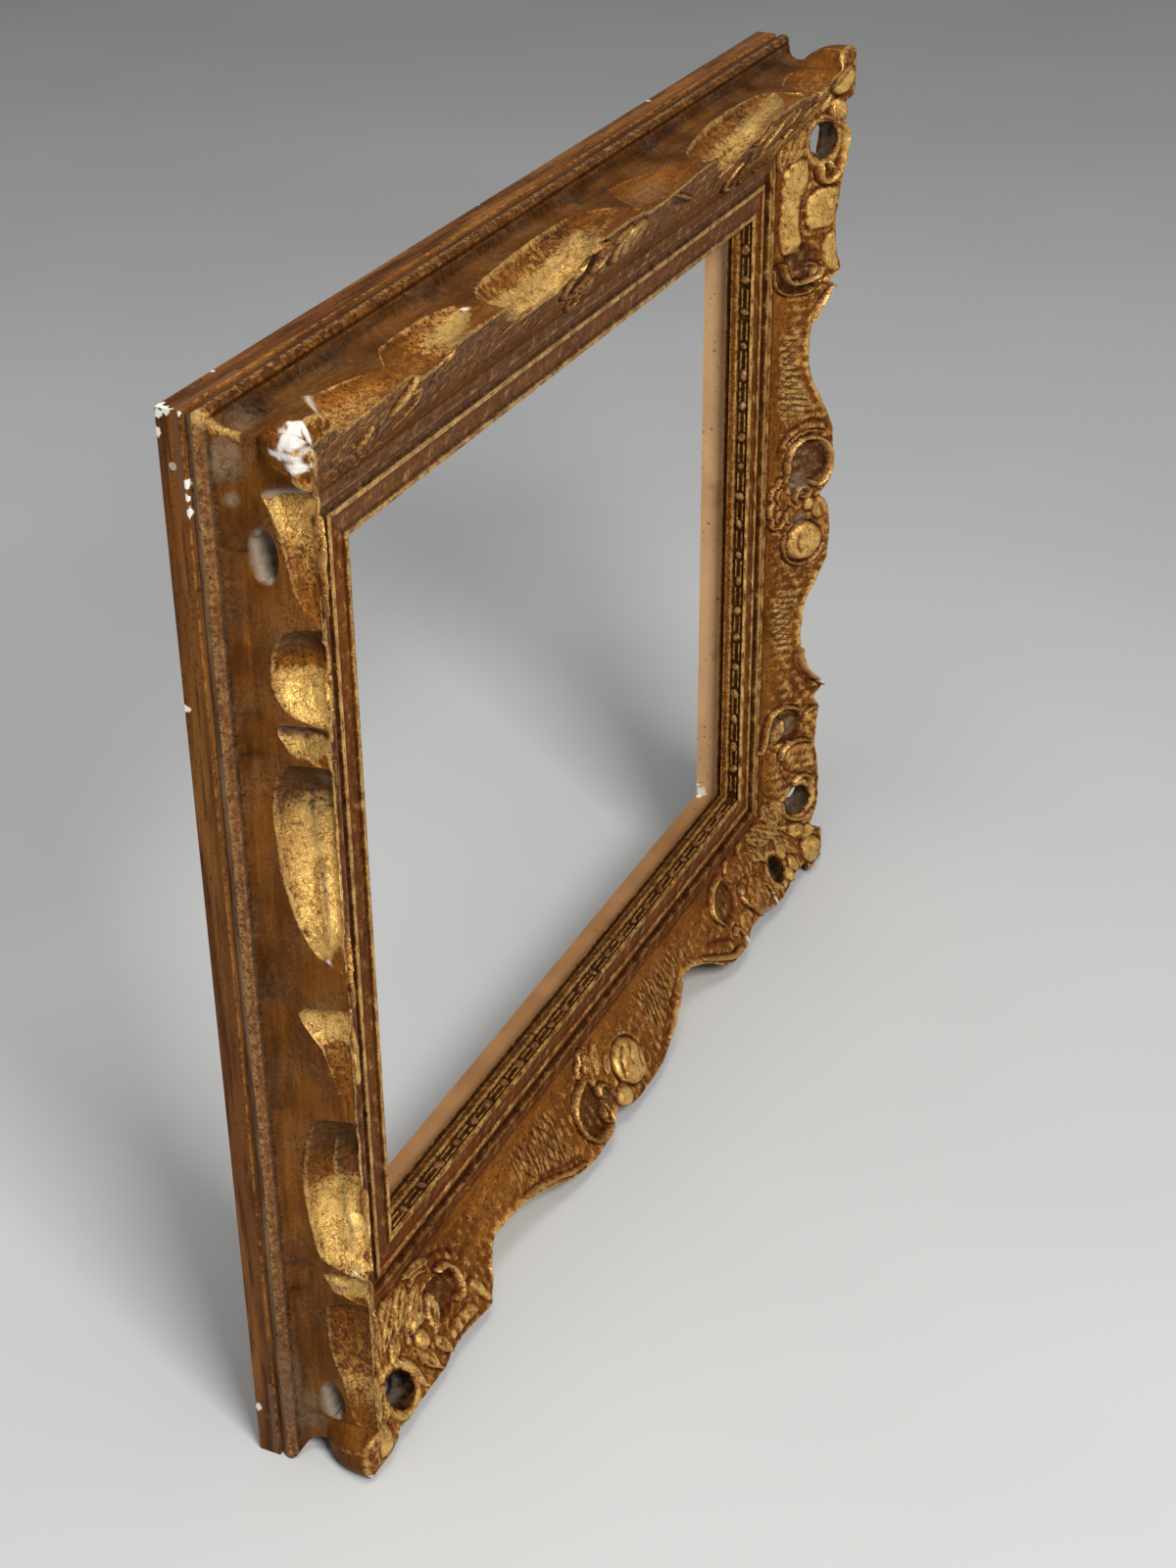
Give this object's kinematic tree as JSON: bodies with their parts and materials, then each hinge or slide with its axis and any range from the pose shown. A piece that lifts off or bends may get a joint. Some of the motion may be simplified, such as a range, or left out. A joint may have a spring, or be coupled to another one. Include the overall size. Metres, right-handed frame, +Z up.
{
  "type": "picture frame",
  "caption": "Swept rococo picture frame of carved, gilded rails on a mitred back frame with a rebate, turn buttons and ring hangers behind.",
  "frame": {"origin": "middle of the underside: centred left to right and front to back, at the height the frame stands on", "axes": "+X to the right seen from the front, +Y to the back, +Z up; the carved face looks along -Y"},
  "size_m": [0.612, 0.0684, 0.532],
  "materials": {
    "gilded_wood": "carved wood, gesso and red bole under worn gold leaf with a brown patina",
    "back_wood": "planed softwood, toned brown on the outer edge",
    "spline_wood": "sawn hardwood",
    "nail_steel": "dull wire",
    "screw_steel": "zinc plated",
    "hanger_brass": "tarnished",
    "button_brass": "tarnished"
  },
  "bodies": {
    "frame": {"back_rail_bottom": "back_wood", "back_rail_left": "back_wood", "back_rail_right": "back_wood", "back_rail_top": "back_wood", "carved_rail_bottom": "gilded_wood", "carved_rail_left": "gilded_wood", "carved_rail_right": "gilded_wood", "carved_rail_top": "gilded_wood", "corner_nails": "nail_steel", "corner_spline_bottom_left": "spline_wood", "corner_spline_bottom_right": "spline_wood", "corner_spline_top_left": "spline_wood", "corner_spline_top_right": "spline_wood", "hanger_screws": "screw_steel", "hanger_strap_left": "hanger_brass", "hanger_strap_right": "hanger_brass", "turn_button_screws": "screw_steel"},
    "hanger_ring_left": {"hanger_ring_left": "hanger_brass"},
    "hanger_ring_right": {"hanger_ring_right": "hanger_brass"},
    "turn_button_bottom_left": {"turn_button_bottom_left": "button_brass"},
    "turn_button_bottom_right": {"turn_button_bottom_right": "button_brass"},
    "turn_button_left": {"turn_button_left": "button_brass"},
    "turn_button_right": {"turn_button_right": "button_brass"},
    "turn_button_top_left": {"turn_button_top_left": "button_brass"},
    "turn_button_top_right": {"turn_button_top_right": "button_brass"}
  },
  "joints": [
    {"name": "hanger_ring_left_swing", "type": "hinge", "parent": "frame", "child": "hanger_ring_left", "pos_m": [-0.2695, 0.0316, 0.382], "axis": [1, 0, 0], "range_deg": [0, 180]},
    {"name": "hanger_ring_right_swing", "type": "hinge", "parent": "frame", "child": "hanger_ring_right", "pos_m": [0.2695, 0.0316, 0.382], "axis": [1, 0, 0], "range_deg": [0, 180]},
    {"name": "turn_button_top_left_turn", "type": "hinge", "parent": "frame", "child": "turn_button_top_left", "pos_m": [-0.1125, 0.0288, 0.4715], "axis": [0, 1, 0], "continuous": true},
    {"name": "turn_button_top_right_turn", "type": "hinge", "parent": "frame", "child": "turn_button_top_right", "pos_m": [0.1125, 0.0288, 0.4715], "axis": [0, 1, 0], "continuous": true},
    {"name": "turn_button_bottom_left_turn", "type": "hinge", "parent": "frame", "child": "turn_button_bottom_left", "pos_m": [-0.1125, 0.0288, 0.0605], "axis": [0, 1, 0], "continuous": true},
    {"name": "turn_button_bottom_right_turn", "type": "hinge", "parent": "frame", "child": "turn_button_bottom_right", "pos_m": [0.1125, 0.0288, 0.0605], "axis": [0, 1, 0], "continuous": true},
    {"name": "turn_button_left_turn", "type": "hinge", "parent": "frame", "child": "turn_button_left", "pos_m": [-0.2455, 0.0288, 0.266], "axis": [0, 1, 0], "continuous": true},
    {"name": "turn_button_right_turn", "type": "hinge", "parent": "frame", "child": "turn_button_right", "pos_m": [0.2455, 0.0288, 0.266], "axis": [0, 1, 0], "continuous": true}
  ]
}
